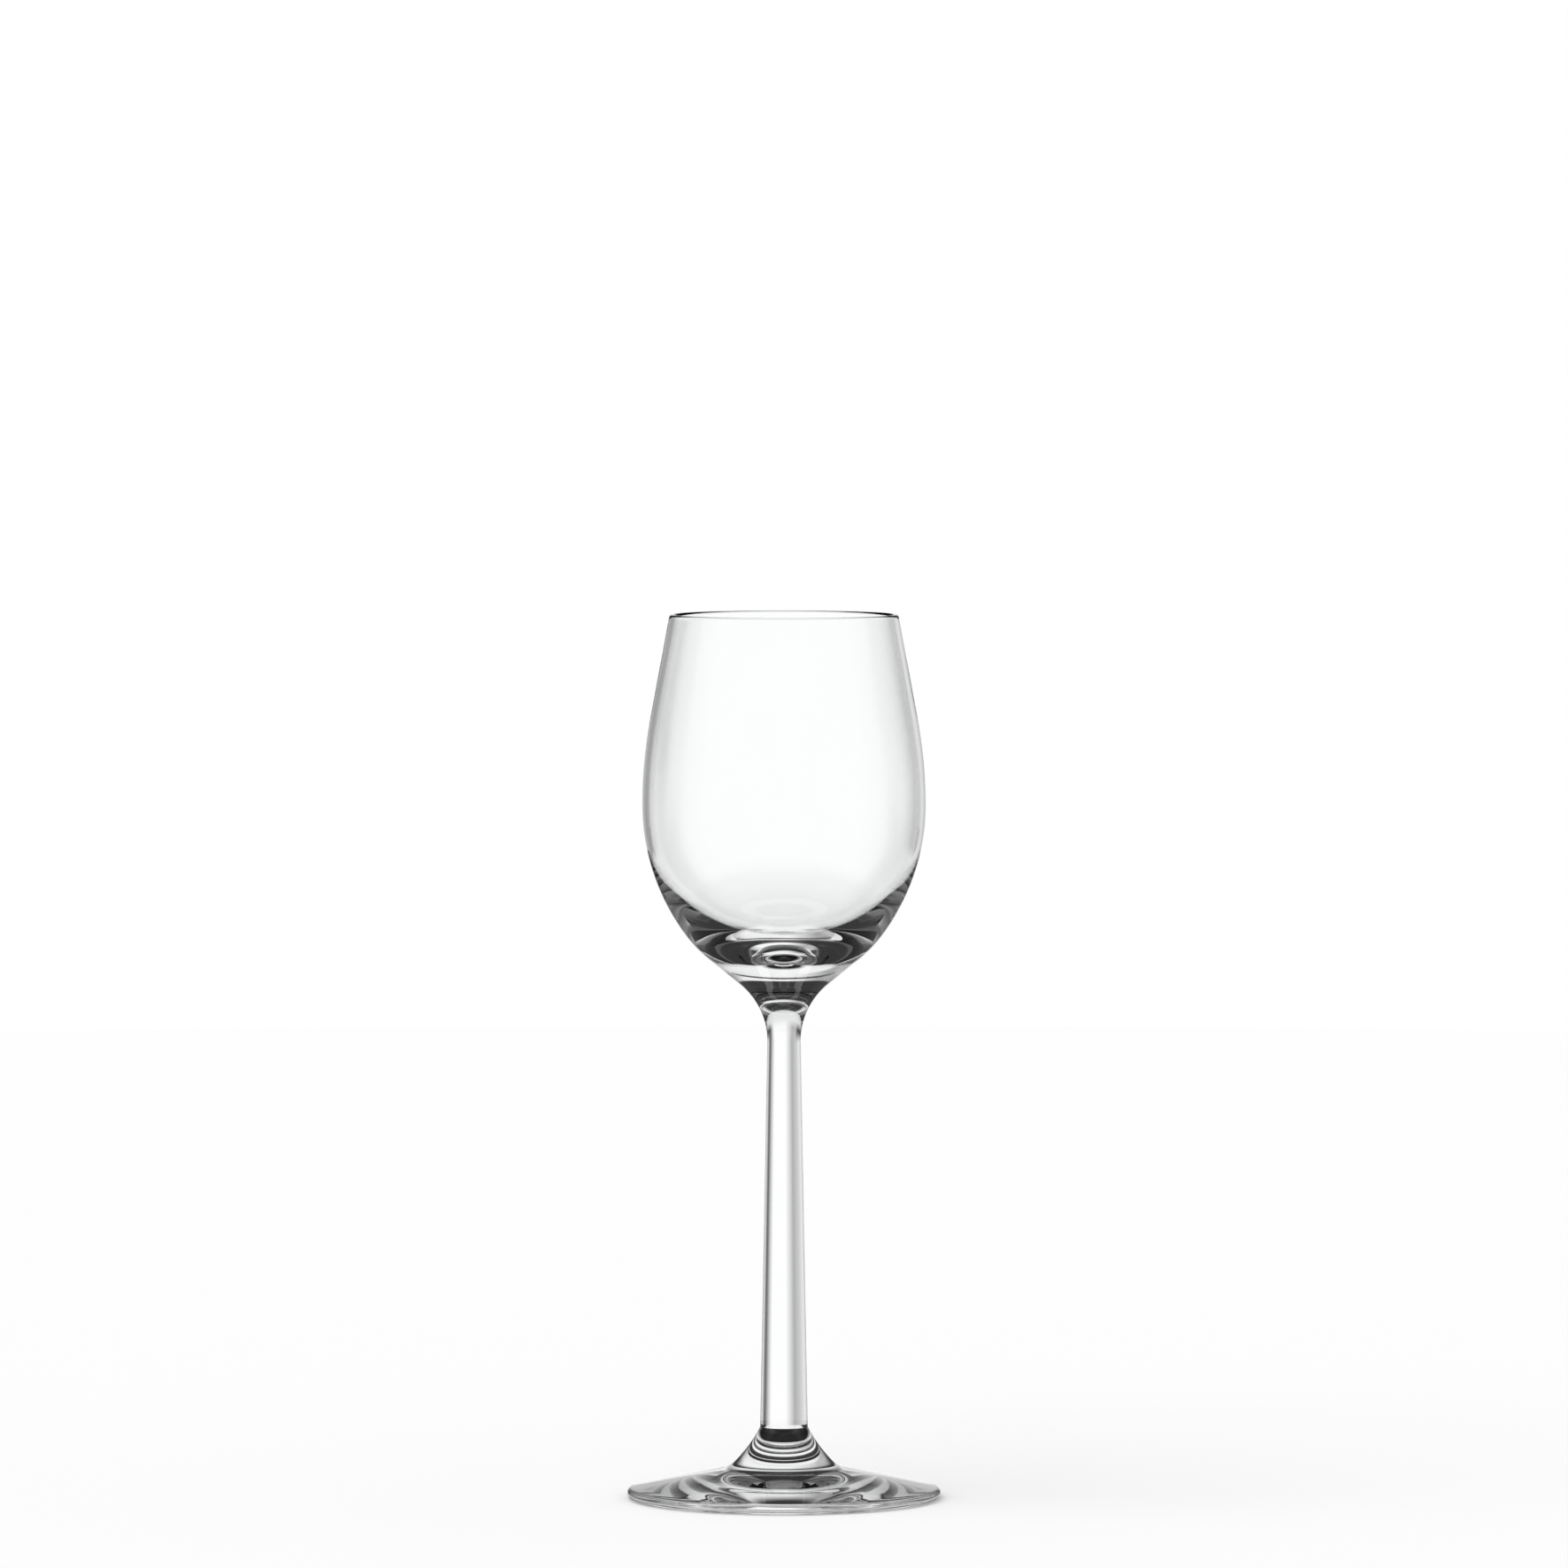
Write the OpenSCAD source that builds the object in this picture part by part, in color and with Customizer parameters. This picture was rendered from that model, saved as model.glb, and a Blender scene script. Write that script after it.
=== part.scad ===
// Liqueur glass: a thin tulip bowl, a solid stem and a round foot, fused to each other hot.
// Millimetres, +Z up. The origin is the middle of the circle that the foot stands on.

/* [Bowl] */
// Height of the rim above the table
rim_z = 160; // [150:1:172]
// Outer radius of the rim
rim_r = 20.75; // [18:0.25:23]
// Height of the bowl's widest level
belly_z = 125.7; // [118:0.1:132]
// Outer radius of the bowl at its widest level
belly_r = 25.6; // [24:0.2:30]
// Radius of the wall's curve above the widest level, as a share of the one that would reach the rim
shoulder_share = 0.7; // [0.3:0.05:0.95]
// Radius of the curve below the widest level
belly_round = 39.6; // [34:0.2:48]
// Radius of the tighter curve under that one
base_round = 24.8; // [18:0.2:30]
// Tilt from upright at which the first of these curves hands over to the second
base_tilt = 36.2; // [24:0.2:42]
// Tilt from upright of the short cone under the bowl
cone_tilt = 51; // [46:1:60]
// Thickness of the wall at the rim
rim_wall = 1.1; // [0.8:0.1:2]
// Thickness of the wall at the widest level
belly_wall = 1.2; // [0.9:0.1:2.4]
// How much deeper than a half ball the cavity is below the widest level
cavity_extra = 2.6; // [0.6:0.2:4]
// Radius of the cavity's side below the widest level, above its round bottom
cavity_side = 40; // [34:1:48]

/* [Stem] */
// Radius of the stem at its waist, just under the bowl
waist_r = 3; // [2.5:0.1:4]
// Radius of the hollow curve from the bowl to the stem
neck_round = 13.2; // [10:0.1:15]
// Radius of the face on which bowl and stem are fused
neck_joint_r = 5.5; // [4.5:0.1:6.5]
// Radius of the face on which stem and foot are fused
foot_joint_r = 4.3; // [3.4:0.1:6]

/* [Foot] */
// Outer radius of the foot
foot_r = 28.4; // [24:0.1:34]
// Slope of the foot's top, in degrees
foot_slope = 11.9; // [9:0.1:18]
// Radius of the rounded edge of the foot
edge_round = 1; // [0.6:0.1:1.6]
// Radius of the collar's long hollow curve under the stem
collar_round = 24; // [16:0.5:30]
// Slope of the collar where it meets the stem, in degrees
collar_slope = 63; // [56:0.5:75]
// Radius of the tighter curve from the collar to the foot's top
root_round = 4.6; // [2:0.2:10]
// Slope at which the collar's long curve hands over to the tighter one, in degrees
root_slope = 44; // [36:0.5:54]
// Width of the flat ring that the foot stands on
ring_w = 2; // [1.5:0.25:6]
// Depth of the hollow under the foot
hollow_depth = 0.8; // [0.4:0.1:1.6]

/* [Hidden] */
$fn = 144;
// Longest straight step along a curved stretch of an outline
step = 1.2;

function polar(radius, angle) = radius * [cos(angle), sin(angle)];

// Points of an arc from one angle to another, without the last one, which starts the next stretch
function arc(centre, radius, from, to) =
    let (count = max(8, ceil(radius * abs(to - from) * PI / 180 / step)))
    [for (i = [0 : count - 1]) centre + polar(radius, from + (to - from) * i / count)];

// Direction of the normal to a straight line through p that touches a circle, on the given side
function touching(p, centre, radius, side) =
    let (d = p - centre)
    atan2(d[1], d[0]) + side * acos(radius / norm(d));

// Foot: the rounded edge, the low cone that touches it, then the two hollow curves of the collar
edge_c = [foot_r - edge_round, edge_round];
foot_normal = 90 - foot_slope;
foot_out = edge_c + polar(edge_round, foot_normal);
collar_c_r = foot_joint_r + collar_round * sin(collar_slope);
root_c_r = collar_c_r - (collar_round - root_round) * sin(root_slope);
foot_in_r = root_c_r - root_round * sin(foot_slope);
foot_in = [foot_in_r, foot_out[1] + (foot_out[0] - foot_in_r) * tan(foot_slope)];
root_c = foot_in + polar(root_round, foot_normal);
collar_c = root_c + polar(collar_round - root_round, 90 - root_slope);
foot_joint_z = collar_c[1] - collar_round * cos(collar_slope);

// Underside of the foot: a shallow dome inside the ring it stands on
hollow_r = edge_c[0] - ring_w;
hollow_round = (pow(hollow_r, 2) + pow(hollow_depth, 2)) / (2 * hollow_depth);
hollow_span = asin(hollow_r / hollow_round);

// Bowl below its widest level: two curves, a short cone and the hollow curve of the neck
belly_c = [belly_r - belly_round, belly_z];
base_top = belly_c + polar(belly_round, -base_tilt);
base_c = base_top - polar(base_round, -base_tilt);
cone_top = base_c + polar(base_round, -cone_tilt);
cone_low_r = waist_r + neck_round * (1 - cos(cone_tilt));
cone_low = [cone_low_r, cone_top[1] - (cone_top[0] - cone_low_r) / tan(cone_tilt)];
neck_c = cone_low + polar(neck_round, -cone_tilt);
neck_joint_tilt = acos((neck_c[0] - neck_joint_r) / neck_round);
neck_joint_z = neck_c[1] + neck_round * sin(neck_joint_tilt);

// Stem: a straight taper from the foot that touches the neck's curve
stem_low = [foot_joint_r, foot_joint_z];
stem_normal = 360 + touching(stem_low, neck_c, neck_round, -1);

// Bowl above its widest level: a curve, then a straight wall up to the rounded lip
lip = rim_wall / 2;
lip_c = [rim_r - lip, rim_z - lip];
inset = belly_r - rim_r;
shoulder_round = shoulder_share * (pow(lip_c[1] - belly_z, 2) + pow(inset, 2)) / (2 * inset);
shoulder_c = [belly_r - shoulder_round, belly_z];
inner_shoulder = shoulder_round - belly_wall;
out_normal = touching(lip_c, shoulder_c, shoulder_round - lip, -1);
in_normal = touching(lip_c, shoulder_c, inner_shoulder + lip, -1);
out_low = shoulder_c + polar(shoulder_round, out_normal);
out_lip = lip_c + polar(lip, out_normal);
in_low = shoulder_c + polar(inner_shoulder, in_normal);
in_lip = lip_c - polar(lip, in_normal);

// Cavity below the widest level: a side that curves gently, then a round bottom centred on the axis,
// which touches the side and reaches the cavity's depth
inner_r = belly_r - belly_wall;
cavity_depth = inner_r + cavity_extra;
side_in = cavity_side - inner_r;
side_c = [-side_in, belly_z];
side_spare = cavity_side - cavity_depth;
pole_drop = (pow(side_in, 2) - pow(side_spare, 2)) / (2 * side_spare);
pole_c = [0, belly_z - pole_drop];
pole_round = cavity_depth - pole_drop;
pole_tilt = atan2(pole_drop, side_in);

// Outside of the bowl, from the face it is fused on up to the lip
bowl_outside = concat(
    [[0, neck_joint_z]],
    arc(neck_c, neck_round, 180 - neck_joint_tilt, 180 - cone_tilt),
    [cone_low],
    arc(base_c, base_round, -cone_tilt, -base_tilt),
    arc(belly_c, belly_round, -base_tilt, 0),
    arc(shoulder_c, shoulder_round, 0, out_normal),
    [out_low]
);

// Over the lip and down the inside of the bowl to the bottom of the cavity
bowl_inside = concat(
    arc(lip_c, lip, out_normal, 180 + in_normal),
    [in_lip],
    arc(shoulder_c, inner_shoulder, in_normal, 0),
    arc(side_c, cavity_side, 0, -pole_tilt),
    arc(pole_c, pole_round, -pole_tilt, -90),
    [pole_c - [0, pole_round]]
);

module bowl() {
    color([0.90, 0.93, 0.94, 0.35])
    rotate_extrude()
    polygon(concat(bowl_outside, bowl_inside));
}

module stem() {
    color([0.86, 0.89, 0.90, 0.45])
    rotate_extrude()
    polygon(concat(
        [[0, foot_joint_z], stem_low],
        arc(neck_c, neck_round, stem_normal, 180 - neck_joint_tilt),
        [[neck_joint_r, neck_joint_z], [0, neck_joint_z]]
    ));
}

module foot() {
    color([0.80, 0.84, 0.85, 0.45])
    rotate_extrude()
    polygon(concat(
        arc([0, hollow_depth - hollow_round], hollow_round, 90, 90 - hollow_span),
        [[hollow_r, 0]],
        arc(edge_c, edge_round, -90, foot_normal),
        [foot_out],
        arc(root_c, root_round, 180 + foot_normal, 270 - root_slope),
        arc(collar_c, collar_round, 270 - root_slope, 270 - collar_slope),
        [[foot_joint_r, foot_joint_z], [0, foot_joint_z]]
    ));
}

bowl();
stem();
foot();
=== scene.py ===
import math

import bpy
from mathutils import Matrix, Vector


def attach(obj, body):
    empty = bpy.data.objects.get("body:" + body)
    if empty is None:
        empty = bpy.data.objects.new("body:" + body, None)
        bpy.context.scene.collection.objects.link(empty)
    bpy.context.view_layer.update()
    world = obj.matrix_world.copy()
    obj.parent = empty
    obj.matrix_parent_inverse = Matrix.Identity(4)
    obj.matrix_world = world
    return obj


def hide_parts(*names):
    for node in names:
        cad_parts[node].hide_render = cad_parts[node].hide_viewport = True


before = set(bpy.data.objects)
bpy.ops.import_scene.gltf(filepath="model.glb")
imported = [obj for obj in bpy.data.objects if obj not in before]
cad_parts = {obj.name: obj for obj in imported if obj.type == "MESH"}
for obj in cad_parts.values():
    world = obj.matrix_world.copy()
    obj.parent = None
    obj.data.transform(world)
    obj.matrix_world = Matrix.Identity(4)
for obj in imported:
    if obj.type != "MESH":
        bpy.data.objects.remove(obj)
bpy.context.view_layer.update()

# Bowl: the part that holds the drink, blown from clear soda-lime glass in a mould. The wall thins towards
# the rim, which is melted round in a flame, and the thick base narrows to a flat face that the stem is
# fused to while both are soft.
MM = 0.001
rim_z, rim_r, rim_wall = 160.0, 20.75, 1.1
belly_z, belly_r, belly_wall = 125.7, 25.6, 1.2
shoulder_share, belly_round, base_round = 0.7, 39.6, 24.8
base_tilt, cone_tilt = 36.2, 51.0
cavity_extra, cavity_side = 2.6, 40.0
waist_r, neck_round, neck_joint_r = 3.0, 13.2, 5.5
# Longest step along an outline and fewest points of an arc, close enough for smooth refraction
outline_step, arc_points = 0.5, 16


def polar(radius, angle):
    """A step of the given length in an outline's plane, as distance from the axis and height."""
    return Vector((radius * math.cos(math.radians(angle)), radius * math.sin(math.radians(angle))))


def arc(centre, radius, start, end):
    """Points along an arc of an outline, without its last."""
    count = max(arc_points, math.ceil(radius * math.radians(abs(end - start)) / outline_step))
    return [centre + polar(radius, start + (end - start) * i / count) for i in range(count)]


def straight(start, end):
    """Points along a straight stretch of an outline, without its last."""
    count = max(1, math.ceil((end - start).length / outline_step))
    return [start.lerp(end, i / count) for i in range(count)]


def touching(point, centre, radius, side):
    """Direction of the normal to a line through a point that touches a circle on the given side."""
    away = point - centre
    return math.degrees(math.atan2(away.y, away.x) + side * math.acos(radius / away.length))


belly_c = Vector((belly_r - belly_round, belly_z))
base_c = belly_c + polar(belly_round - base_round, -base_tilt)
cone_top = base_c + polar(base_round, -cone_tilt)
cone_low_r = waist_r + neck_round * (1 - math.cos(math.radians(cone_tilt)))
cone_low = Vector((cone_low_r, cone_top.y - (cone_top.x - cone_low_r) / math.tan(math.radians(cone_tilt))))
neck_c = cone_low + polar(neck_round, -cone_tilt)
neck_joint_tilt = math.degrees(math.acos((neck_c.x - neck_joint_r) / neck_round))
neck_joint_z = neck_c.y + neck_round * math.sin(math.radians(neck_joint_tilt))
neck_joint = Vector((neck_joint_r, neck_joint_z))

lip = rim_wall / 2
lip_c = Vector((rim_r - lip, rim_z - lip))
inset = belly_r - rim_r
shoulder_round = shoulder_share * ((lip_c.y - belly_z) ** 2 + inset ** 2) / (2 * inset)
shoulder_c = Vector((belly_r - shoulder_round, belly_z))
inner_shoulder = shoulder_round - belly_wall
out_normal = touching(lip_c, shoulder_c, shoulder_round - lip, -1)
in_normal = touching(lip_c, shoulder_c, inner_shoulder + lip, -1)

inner_r = belly_r - belly_wall
side_in = cavity_side - inner_r
side_spare = side_in - cavity_extra
pole_drop = (side_in ** 2 - side_spare ** 2) / (2 * side_spare)
pole_c = Vector((0, belly_z - pole_drop))
pole_round = inner_r + cavity_extra - pole_drop
pole_tilt = math.degrees(math.atan2(pole_drop, side_in))

bowl_outline = [
    *straight(Vector((0, neck_joint_z)), neck_joint),
    *arc(neck_c, neck_round, 180 - neck_joint_tilt, 180 - cone_tilt),
    *straight(cone_low, cone_top),
    *arc(base_c, base_round, -cone_tilt, -base_tilt),
    *arc(belly_c, belly_round, -base_tilt, 0),
    *arc(shoulder_c, shoulder_round, 0, out_normal),
    *straight(shoulder_c + polar(shoulder_round, out_normal), lip_c + polar(lip, out_normal)),
    *arc(lip_c, lip, out_normal, 180 + in_normal),
    *straight(lip_c - polar(lip, in_normal), shoulder_c + polar(inner_shoulder, in_normal)),
    *arc(shoulder_c, inner_shoulder, in_normal, 0),
    *arc(Vector((-side_in, belly_z)), cavity_side, 0, -pole_tilt),
    *arc(pole_c, pole_round, -pole_tilt, -90),
    Vector((0, pole_c.y - pole_round)),
]


def put(tree, kind, values=None, links=None, **settings):
    """Adds a node with its settings, its sockets' values and the links to its inputs."""
    node = tree.nodes.new(kind)
    for name, value in settings.items():
        setattr(node, name, value)
    for name, value in (values or {}).items():
        node.inputs[name].default_value = value
    for name, output in (links or {}).items():
        tree.links.new(output, node.inputs[name])
    return node


def shade(hex_colour):
    """An sRGB hex colour in Blender's linear values."""
    parts = [int(hex_colour[i:i + 2], 16) / 255 for i in (1, 3, 5)]
    return (*(p / 12.92 if p <= 0.04045 else ((p + 0.055) / 1.055) ** 2.4 for p in parts), 1.0)


# Clear soda-lime glass with a fire-polished skin: no colour of its own but a trace of green, a mirror-smooth
# surface, and faint cords, the soft waves a few millimetres apart that melting leaves and that bend what is
# seen through it.
cord_spacing, cord_height, cord_stretch = 9 * MM, 0.02 * MM, 0.45
clear_glass = bpy.data.materials.new("clear_soda_lime_glass")
clear_glass.use_nodes = True
tree = clear_glass.node_tree
tree.nodes.clear()
place = put(tree, "ShaderNodeTexCoord")
stretched = put(tree, "ShaderNodeMapping", {"Scale": (1, 1, cord_stretch)},
                {"Vector": place.outputs["Object"]})
cords = put(tree, "ShaderNodeTexNoise", {"Scale": 1 / cord_spacing, "Detail": 1.0, "Roughness": 0.4},
            {"Vector": stretched.outputs["Vector"]})
waves = put(tree, "ShaderNodeBump", {"Strength": 1.0, "Distance": cord_height},
            {"Height": cords.outputs["Fac"]})
tint = put(tree, "ShaderNodeValToRGB", None, {"Fac": cords.outputs["Fac"]})
tint.color_ramp.elements[0].color = shade("#FDFEFE")
tint.color_ramp.elements[1].color = shade("#FFFFFF")
skin = put(tree, "ShaderNodeBsdfPrincipled", {"IOR": 1.52, "Roughness": 0.0, "Transmission Weight": 1.0},
           {"Base Color": tint.outputs["Color"], "Normal": waves.outputs["Normal"]})
put(tree, "ShaderNodeOutputMaterial", None, {"Surface": skin.outputs["BSDF"]})

# Fused joint: where two pieces melted into each other the glass runs on unbroken, so there is nothing to see.
fused_joint = bpy.data.materials.new("fused_glass_joint")
fused_joint.use_nodes = True
tree = fused_joint.node_tree
tree.nodes.clear()
through = put(tree, "ShaderNodeBsdfTransparent", {"Color": (1, 1, 1, 1)})
put(tree, "ShaderNodeOutputMaterial", None, {"Surface": through.outputs["BSDF"]})

# Turns an outline about the upright axis: a grid with a column for each of the sides takes the outline's
# points, is wrapped round, and is closed at its seam and on the axis.
lathe_sides, no_joint = 192, -1.0
weld, joint_slack, corner_angle = 0.001 * MM, 0.01 * MM, math.radians(30)
turning = bpy.data.node_groups.new("turned_on_the_axis", "GeometryNodeTree")
sockets = {}
for name, kind in (("Outline", "NodeSocketGeometry"), ("Sides", "NodeSocketInt"),
                   ("Lower joint", "NodeSocketFloat"), ("Upper joint", "NodeSocketFloat"),
                   ("Glass", "NodeSocketMaterial"), ("Joint", "NodeSocketMaterial")):
    sockets[name] = turning.interface.new_socket(name, in_out="INPUT", socket_type=kind).identifier
turning.interface.new_socket("Piece", in_out="OUTPUT", socket_type="NodeSocketGeometry")
given = put(turning, "NodeGroupInput")
count = put(turning, "GeometryNodeAttributeDomainSize", None, {"Geometry": given.outputs["Outline"]})
columns = put(turning, "ShaderNodeMath", {1: 1}, {0: given.outputs["Sides"]}, operation="ADD")
sheet = put(turning, "GeometryNodeMeshGrid", None,
            {"Vertices X": columns.outputs[0], "Vertices Y": count.outputs["Point Count"]})
index = put(turning, "GeometryNodeInputIndex")
row = put(turning, "ShaderNodeMath", None, {0: index.outputs[0], 1: count.outputs["Point Count"]},
          operation="MODULO")
over = put(turning, "ShaderNodeMath", None, {0: index.outputs[0], 1: row.outputs[0]}, operation="SUBTRACT")
column = put(turning, "ShaderNodeMath", None, {0: over.outputs[0], 1: count.outputs["Point Count"]},
             operation="DIVIDE")
share = put(turning, "ShaderNodeMath", None, {0: column.outputs[0], 1: given.outputs["Sides"]},
            operation="DIVIDE")
angle = put(turning, "ShaderNodeMath", {1: math.tau}, {0: share.outputs[0]}, operation="MULTIPLY")
spot = put(turning, "GeometryNodeInputPosition")
drawn = put(turning, "GeometryNodeSampleIndex", None,
            {"Geometry": given.outputs["Outline"], "Value": spot.outputs[0], "Index": row.outputs[0]},
            data_type="FLOAT_VECTOR", domain="POINT")
round_the_axis = put(turning, "ShaderNodeVectorRotate", None,
                     {"Vector": drawn.outputs["Value"], "Angle": angle.outputs[0]}, rotation_type="Z_AXIS")
wrapped = put(turning, "GeometryNodeSetPosition", None,
              {"Geometry": sheet.outputs["Mesh"], "Position": round_the_axis.outputs[0]})
closed = put(turning, "GeometryNodeMergeByDistance", {"Distance": weld}, {"Geometry": wrapped.outputs[0]})
smooth = put(turning, "GeometryNodeSetShadeSmooth", {"Shade Smooth": True}, {"Geometry": closed.outputs[0]})
bend = put(turning, "GeometryNodeInputMeshEdgeAngle")
corner = put(turning, "ShaderNodeMath", {1: corner_angle}, {0: bend.outputs["Unsigned Angle"]},
             operation="GREATER_THAN")
crisp = put(turning, "GeometryNodeSetShadeSmooth", {"Shade Smooth": False},
            {"Geometry": smooth.outputs[0], "Selection": corner.outputs[0]}, domain="EDGE")
height = put(turning, "ShaderNodeSeparateXYZ", None, {0: spot.outputs[0]})
at_lower = put(turning, "ShaderNodeMath", {2: joint_slack},
               {0: height.outputs["Z"], 1: given.outputs["Lower joint"]}, operation="COMPARE")
at_upper = put(turning, "ShaderNodeMath", {2: joint_slack},
               {0: height.outputs["Z"], 1: given.outputs["Upper joint"]}, operation="COMPARE")
at_joint = put(turning, "ShaderNodeMath", None, {0: at_lower.outputs[0], 1: at_upper.outputs[0]},
               operation="MAXIMUM")
real = put(turning, "GeometryNodeRealizeInstances", None, {"Geometry": crisp.outputs[0]})
glassed = put(turning, "GeometryNodeSetMaterial", None,
              {"Geometry": real.outputs[0], "Material": given.outputs["Glass"]})
joined = put(turning, "GeometryNodeSetMaterial", None,
             {"Geometry": glassed.outputs[0], "Selection": at_joint.outputs[0],
              "Material": given.outputs["Joint"]})
put(turning, "NodeGroupOutput", None, {"Piece": joined.outputs[0]})


def turned(name, outline, lower_joint=no_joint, upper_joint=no_joint):
    """A piece of glass turned from its outline, with the fused faces at the given heights."""
    thread = bpy.data.meshes.new(name)
    thread.from_pydata([(p.x * MM, 0, p.y * MM) for p in outline],
                       [(i, i + 1) for i in range(len(outline) - 1)], [])
    piece = bpy.data.objects.new(name, thread)
    bpy.context.scene.collection.objects.link(piece)
    lathe = piece.modifiers.new("turned", "NODES")
    lathe.node_group = turning
    for socket, value in (("Sides", lathe_sides), ("Lower joint", lower_joint * MM),
                          ("Upper joint", upper_joint * MM), ("Glass", clear_glass), ("Joint", fused_joint)):
        lathe[sockets[socket]] = value
    piece.data = bpy.data.meshes.new_from_object(piece.evaluated_get(bpy.context.evaluated_depsgraph_get()))
    piece.data.name = name
    piece.modifiers.clear()
    return piece


blown_bowl = turned("blown_bowl", bowl_outline, lower_joint=neck_joint_z)
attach(blown_bowl, "root")
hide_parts("bowl")

# Stem: a solid rod of the same glass, drawn out while soft, so that it is slimmest just under the bowl and
# thickens to the foot. It is fused to the bowl's base above and to the foot's collar below.
foot_joint_r = 4.3
foot_r, foot_slope, edge_round = 28.4, 11.9, 1.0
collar_round, collar_slope = 24.0, 63.0
root_round, root_slope = 4.6, 44.0

edge_c = Vector((foot_r - edge_round, edge_round))
foot_out = edge_c + polar(edge_round, 90 - foot_slope)
collar_c_r = foot_joint_r + collar_round * math.sin(math.radians(collar_slope))
root_c_r = collar_c_r - (collar_round - root_round) * math.sin(math.radians(root_slope))
foot_in_r = root_c_r - root_round * math.sin(math.radians(foot_slope))
foot_in = Vector((foot_in_r, foot_out.y + (foot_out.x - foot_in_r) * math.tan(math.radians(foot_slope))))
root_c = foot_in + polar(root_round, 90 - foot_slope)
collar_c = root_c + polar(collar_round - root_round, 90 - root_slope)
foot_joint_z = collar_c.y - collar_round * math.cos(math.radians(collar_slope))
foot_joint = Vector((foot_joint_r, foot_joint_z))

stem_normal = 360 + touching(foot_joint, neck_c, neck_round, -1)
stem_outline = [
    *straight(Vector((0, foot_joint_z)), foot_joint),
    *straight(foot_joint, neck_c + polar(neck_round, stem_normal)),
    *arc(neck_c, neck_round, stem_normal, 180 - neck_joint_tilt),
    *straight(neck_joint, Vector((0, neck_joint_z))),
    Vector((0, neck_joint_z)),
]
drawn_stem = turned("drawn_stem", stem_outline, lower_joint=foot_joint_z, upper_joint=neck_joint_z)
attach(drawn_stem, "root")
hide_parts("stem")

# Foot: a gather of the same glass pressed out to a disc, low and conical on top with a rounded edge, and
# drawn up to a collar that is fused to the stem. It stands on a narrow ring round a shallow hollow.
ring_w, hollow_depth = 2.0, 0.8
hollow_r = edge_c.x - ring_w
hollow_round = (hollow_r ** 2 + hollow_depth ** 2) / (2 * hollow_depth)
hollow_span = math.degrees(math.asin(hollow_r / hollow_round))
foot_outline = [
    *arc(Vector((0, hollow_depth - hollow_round)), hollow_round, 90, 90 - hollow_span),
    *straight(Vector((hollow_r, 0)), Vector((edge_c.x, 0))),
    *arc(edge_c, edge_round, -90, 90 - foot_slope),
    *straight(foot_out, foot_in),
    *arc(root_c, root_round, 270 - foot_slope, 270 - root_slope),
    *arc(collar_c, collar_round, 270 - root_slope, 270 - collar_slope),
    *straight(foot_joint, Vector((0, foot_joint_z))),
    Vector((0, foot_joint_z)),
]
pressed_foot = turned("pressed_foot", foot_outline, upper_joint=foot_joint_z)
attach(pressed_foot, "root")
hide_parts("foot")

# Table: a round of matt white board that the glass stands on. The eye sees all of it and the shadow on it,
# and the glass sees a ring of it close round its foot.
table_r, table_sides = 1.2, 96
seen_ring_r, seen_ring_half = 0.037, 0.008
board = bpy.data.meshes.new("table")
turns = [math.tau * i / table_sides for i in range(table_sides)]
board.from_pydata([(table_r * math.cos(turn), table_r * math.sin(turn), 0) for turn in turns],
                  [], [list(range(table_sides))])
table = bpy.data.objects.new("table", board)
bpy.context.scene.collection.objects.link(table)
white_board = bpy.data.materials.new("matt_white_board")
white_board.use_nodes = True
tree = white_board.node_tree
tree.nodes.clear()
ray = put(tree, "ShaderNodeLightPath")
place = put(tree, "ShaderNodeTexCoord")
reach = put(tree, "ShaderNodeVectorMath", None, {0: place.outputs["Object"]}, operation="LENGTH")
ring = put(tree, "ShaderNodeMath", {1: seen_ring_r, 2: seen_ring_half}, {0: reach.outputs["Value"]},
           operation="COMPARE")
seen = put(tree, "ShaderNodeMath", None, {0: ring.outputs[0], 1: ray.outputs["Is Camera Ray"]},
           operation="MAXIMUM")
matt = put(tree, "ShaderNodeBsdfDiffuse", {"Color": shade("#E8E8E8")})
through = put(tree, "ShaderNodeBsdfTransparent", {"Color": (1, 1, 1, 1)})
either = put(tree, "ShaderNodeMixShader", None,
             {0: seen.outputs[0], 1: through.outputs[0], 2: matt.outputs[0]})
put(tree, "ShaderNodeOutputMaterial", None, {"Surface": either.outputs[0]})
board.materials.append(white_board)

# Studio: white to the eye all round. The glass sees a room by direction: a white sweep behind it with a grey
# panel on its left and a black strip on its right, dark sides that draw its edges, and a white front. A ray's
# way chooses too: Transmission Depth counts the skins it crossed, and Glossy Depth its reflections.
dark_ceiling, pale_ceiling, pale_ground_least = 0.04, 0.84, 0.5
bowl_skins, room_light = 4, 0.9
studio = bpy.data.worlds.new("studio")
bpy.context.scene.world = studio
studio.use_nodes = True
tree = studio.node_tree
tree.nodes.clear()
ray = put(tree, "ShaderNodeLightPath")
way = put(tree, "ShaderNodeTexCoord")
along = put(tree, "ShaderNodeSeparateXYZ", None, {0: way.outputs["Generated"]})
turn = put(tree, "ShaderNodeMath", None, {0: along.outputs["X"], 1: along.outputs["Y"]}, operation="ARCTAN2")
round_share = put(tree, "ShaderNodeMath", {1: 1 / math.tau, 2: 0.5}, {0: turn.outputs[0]},
                  operation="MULTIPLY_ADD")
upward = put(tree, "ShaderNodeMath", None, {0: along.outputs["Z"]}, operation="ARCSINE")

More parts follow.
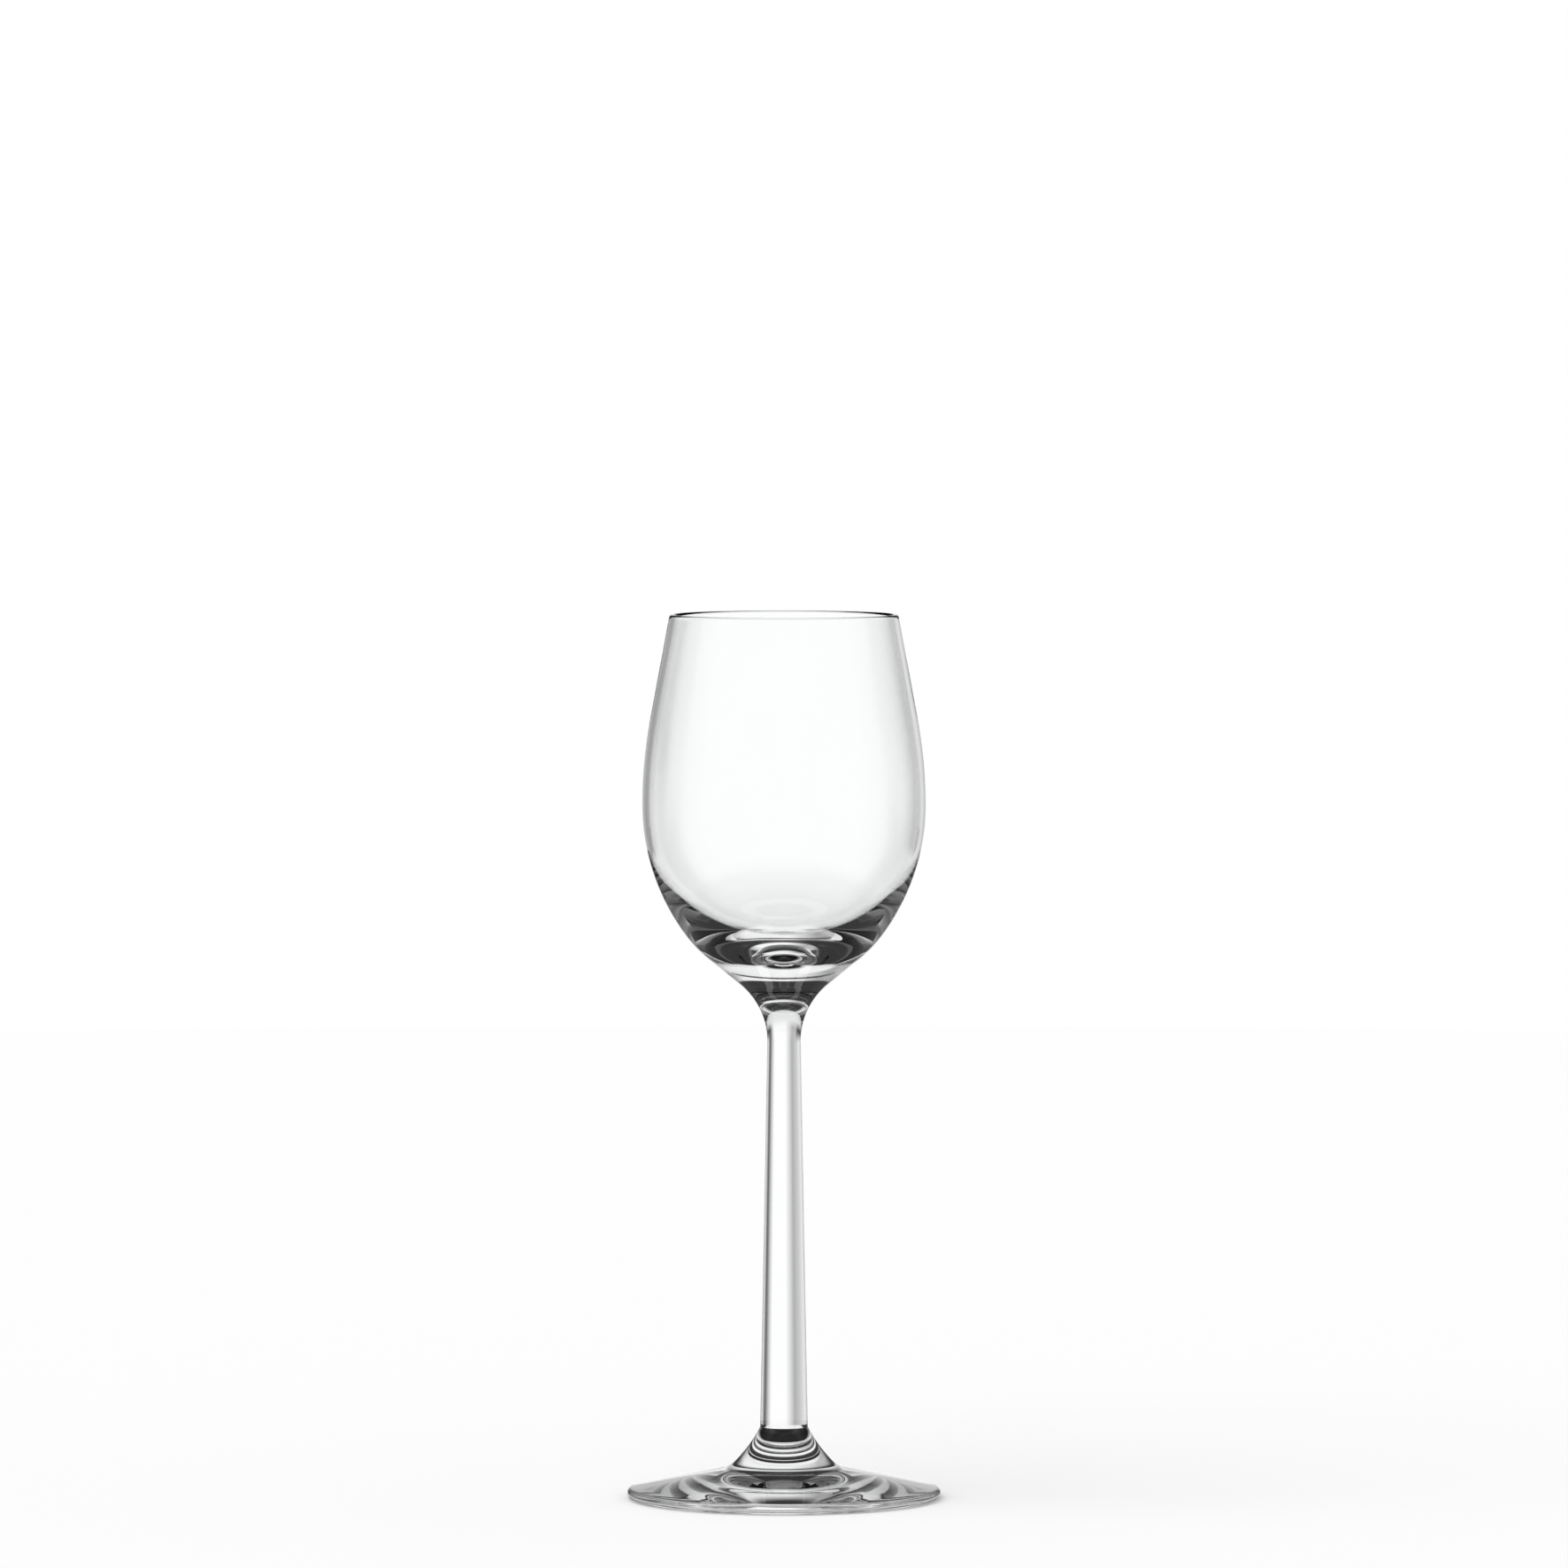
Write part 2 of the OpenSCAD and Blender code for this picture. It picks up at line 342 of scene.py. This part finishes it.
# Brightness round the room, in degrees from straight behind the glass, with those to the right above zero
levels = {}
for name, stops in (
    ("low wall", [(-110, 0.25), (-90, 0.6), (-55, 0.9), (-20, 0.38), (-3, 1.0), (24, 1.0),
                  (43, 0.1), (48, 0.1), (62, 0.8), (90, 0.6), (110, 0.25)]),
    ("high wall", [(-40, 0.1), (-30, 0.5), (-20, 0.45), (-3, 1.0), (25, 1.0), (40, 0.1)]),
    ("ground", [(-110, 0.2), (-40, 1.0), (40, 1.0), (110, 0.2)]),
    ("front", [(-150, 1.0), (-110, 0.0), (110, 0.0), (150, 1.0)]),
    ("mirrored front", [(-85, 1.0), (-60, 0.0), (60, 0.0), (85, 1.0)]),
    ("on the skin", [(-115, 1.0), (-85, 0.1), (-14, 0.1), (-5, 1.0),
                     (5, 1.0), (14, 0.1), (85, 0.1), (115, 1.0)]),
):
    ramp = put(tree, "ShaderNodeValToRGB", None, {"Fac": round_share.outputs[0]})
    for i, (degrees, level) in enumerate(stops):
        stop = ramp.color_ramp.elements[i] if i < 2 else ramp.color_ramp.elements.new(1.0)
        stop.position = degrees / 360 + 0.5
        stop.color = (level, level, level, 1)
    levels[name] = ramp.outputs["Color"]

# Heights at which one part of the room gives way to the next, in degrees above the level of the glass
heights = {}
for name, start, end, least in (("raised", -5, 6, 0.0), ("overhead", 10, 20, 0.0), ("lowered", -9, -14, 0.0),
                                ("floor", -50, -40, 0.02), ("front top", 50, 35, 0.0)):
    span = {"From Min": math.radians(start), "From Max": math.radians(end), "To Min": least}
    heights[name] = put(tree, "ShaderNodeMapRange", span, {"Value": upward.outputs[0]}).outputs[0]

# Ceiling and ground are pale straight through the glass, and darker once they are mirrored
unmirrored = put(tree, "ShaderNodeMath", {1: 0.5}, {0: ray.outputs["Glossy Depth"]}, operation="LESS_THAN")
wall = put(tree, "ShaderNodeMix", None, {0: heights["raised"], 2: levels["low wall"], 3: levels["high wall"]})
ceiling = put(tree, "ShaderNodeMix", {2: dark_ceiling, 3: pale_ceiling}, {0: unmirrored.outputs[0]})
roofed = put(tree, "ShaderNodeMix", None, {0: heights["overhead"], 2: wall.outputs[0], 3: ceiling.outputs[0]})
dark_ground = put(tree, "ShaderNodeMath", None, {0: levels["ground"], 1: heights["floor"]},
                  operation="MULTIPLY")
pale_ground = put(tree, "ShaderNodeMath", {1: 1 - pale_ground_least, 2: pale_ground_least},
                  {0: levels["low wall"]}, operation="MULTIPLY_ADD")
ground = put(tree, "ShaderNodeMix", None,
             {0: unmirrored.outputs[0], 2: dark_ground.outputs[0], 3: pale_ground.outputs[0]})
around = put(tree, "ShaderNodeMix", None, {0: heights["lowered"], 2: roofed.outputs[0], 3: ground.outputs[0]})

# White front: broad in first reflections, which brighten the bowl, narrower straight through, and then gone
once = put(tree, "ShaderNodeMath", {1: 1.0, 2: 0.1}, {0: ray.outputs["Glossy Depth"]}, operation="COMPARE")
first = put(tree, "ShaderNodeMath", None, {0: once.outputs[0], 1: levels["mirrored front"]},
            operation="MULTIPLY")
front = put(tree, "ShaderNodeMix", None,
            {0: unmirrored.outputs[0], 2: first.outputs[0], 3: levels["front"]}).outputs[0]
for part in (heights["floor"], heights["front top"]):
    front = put(tree, "ShaderNodeMath", None, {0: front, 1: part}, operation="MULTIPLY").outputs[0]
sight = put(tree, "ShaderNodeMath", None, {0: around.outputs[0], 1: front}, operation="MAXIMUM")

# Reflections on the outer skin see darker sides
outside = put(tree, "ShaderNodeMath", {1: 0.5}, {0: ray.outputs["Transmission Depth"]}, operation="LESS_THAN")
dimmed = put(tree, "ShaderNodeMix", {2: 1.0}, {0: outside.outputs[0], 3: levels["on the skin"]})
bright = put(tree, "ShaderNodeMath", None, {0: sight.outputs[0], 1: dimmed.outputs[0]}, operation="MULTIPLY")

# Straight through both walls of the bowl the white sweep shows from every side
crossings = put(tree, "ShaderNodeMath", None,
                {0: ray.outputs["Transmission Depth"], 1: unmirrored.outputs[0]}, operation="MULTIPLY")
both_walls = put(tree, "ShaderNodeMath", {1: bowl_skins - 0.5}, {0: crossings.outputs[0]},
                 operation="GREATER_THAN")
beyond = put(tree, "ShaderNodeMath", None, {0: both_walls.outputs[0], 1: bright.outputs[0]},
             operation="MAXIMUM")

# The eye itself sees white, and surfaces are lit at a plain level
bent = put(tree, "ShaderNodeMath", None,
           {0: ray.outputs["Is Glossy Ray"], 1: ray.outputs["Is Transmission Ray"]}, operation="MAXIMUM")
plain = put(tree, "ShaderNodeMath", {1: 1 - room_light, 2: room_light}, {0: ray.outputs["Is Camera Ray"]},
            operation="MULTIPLY_ADD")
level = put(tree, "ShaderNodeMix", None, {0: bent.outputs[0], 2: plain.outputs[0], 3: beyond.outputs[0]})
light = put(tree, "ShaderNodeBackground", {"Color": (1, 1, 1, 1)}, {"Strength": level.outputs[0]})
put(tree, "ShaderNodeOutputWorld", None, {"Surface": light.outputs[0]})

# Boards: two strips of matt black board, bent round the bowl, one on each side and out of the picture. They
# show from a ray's second reflection on, as dark bars in the solid glass of the base, and they neither shade
# the table nor show in the clear bowl.
board_r, board_low, board_top = 0.12, 0.085, 0.113
board_angles = range(34, 91, 4)
corners, strips = [], []
for side in (-1, 1):
    for i, degrees in enumerate(board_angles):
        aside = math.radians(side * degrees)
        corners += [(board_r * math.sin(aside), board_r * math.cos(aside), z) for z in (board_low, board_top)]
        if i:
            strips.append((len(corners) - 4, len(corners) - 3, len(corners) - 1, len(corners) - 2))
strip_mesh = bpy.data.meshes.new("boards")
strip_mesh.from_pydata(corners, [], strips)
boards = bpy.data.objects.new("boards", strip_mesh)
boards.visible_camera = boards.visible_diffuse = boards.visible_shadow = False
bpy.context.scene.collection.objects.link(boards)
black_board = bpy.data.materials.new("matt_black_board")
black_board.use_nodes = True
tree = black_board.node_tree
tree.nodes.clear()
ray = put(tree, "ShaderNodeLightPath")
twice = put(tree, "ShaderNodeMath", {1: 1.5}, {0: ray.outputs["Glossy Depth"]}, operation="GREATER_THAN")
matt = put(tree, "ShaderNodeBsdfDiffuse", {"Color": shade("#202020")})
through = put(tree, "ShaderNodeBsdfTransparent", {"Color": (1, 1, 1, 1)})
either = put(tree, "ShaderNodeMixShader", None,
             {0: twice.outputs[0], 1: through.outputs[0], 2: matt.outputs[0]})
put(tree, "ShaderNodeOutputMaterial", None, {"Surface": either.outputs[0]})
strip_mesh.materials.append(black_board)

# Lamp: one broad soft light from above on the left, as from a large cloth screen. It lays a faint shadow on
# the table, and the glass doesn't mirror it.
soft_light = bpy.data.lights.new("soft_light", "SUN")
soft_light.energy, soft_light.angle = 1.2, math.radians(60)
lamp = bpy.data.objects.new("soft_light", soft_light)
lamp.rotation_euler = (math.radians(20), math.radians(-25), 0)
lamp.visible_glossy = lamp.visible_transmission = False
bpy.context.scene.collection.objects.link(lamp)

# Camera: a long lens a little above the rim's height, looking slightly down, as in the photograph. Colours
# show as they are written, and light has bounces enough to get through the solid glass.
aim, bounces = Vector((0, 0, 0.12937)), 32
lens = bpy.data.cameras.new("camera")
lens.lens, lens.sensor_width, lens.clip_end = 254.8, 36.0, 50.0
camera = bpy.data.objects.new("camera", lens)
camera.location = (0.0, -2.0, 0.228)
camera.rotation_euler = (aim - camera.location).to_track_quat("-Z", "Y").to_euler()
bpy.context.scene.collection.objects.link(camera)
bpy.context.scene.camera = camera

view = bpy.context.scene
view.view_settings.view_transform = "Standard"
view.cycles.max_bounces = view.cycles.glossy_bounces = view.cycles.transmission_bounces = bounces
view.cycles.transparent_max_bounces = bounces
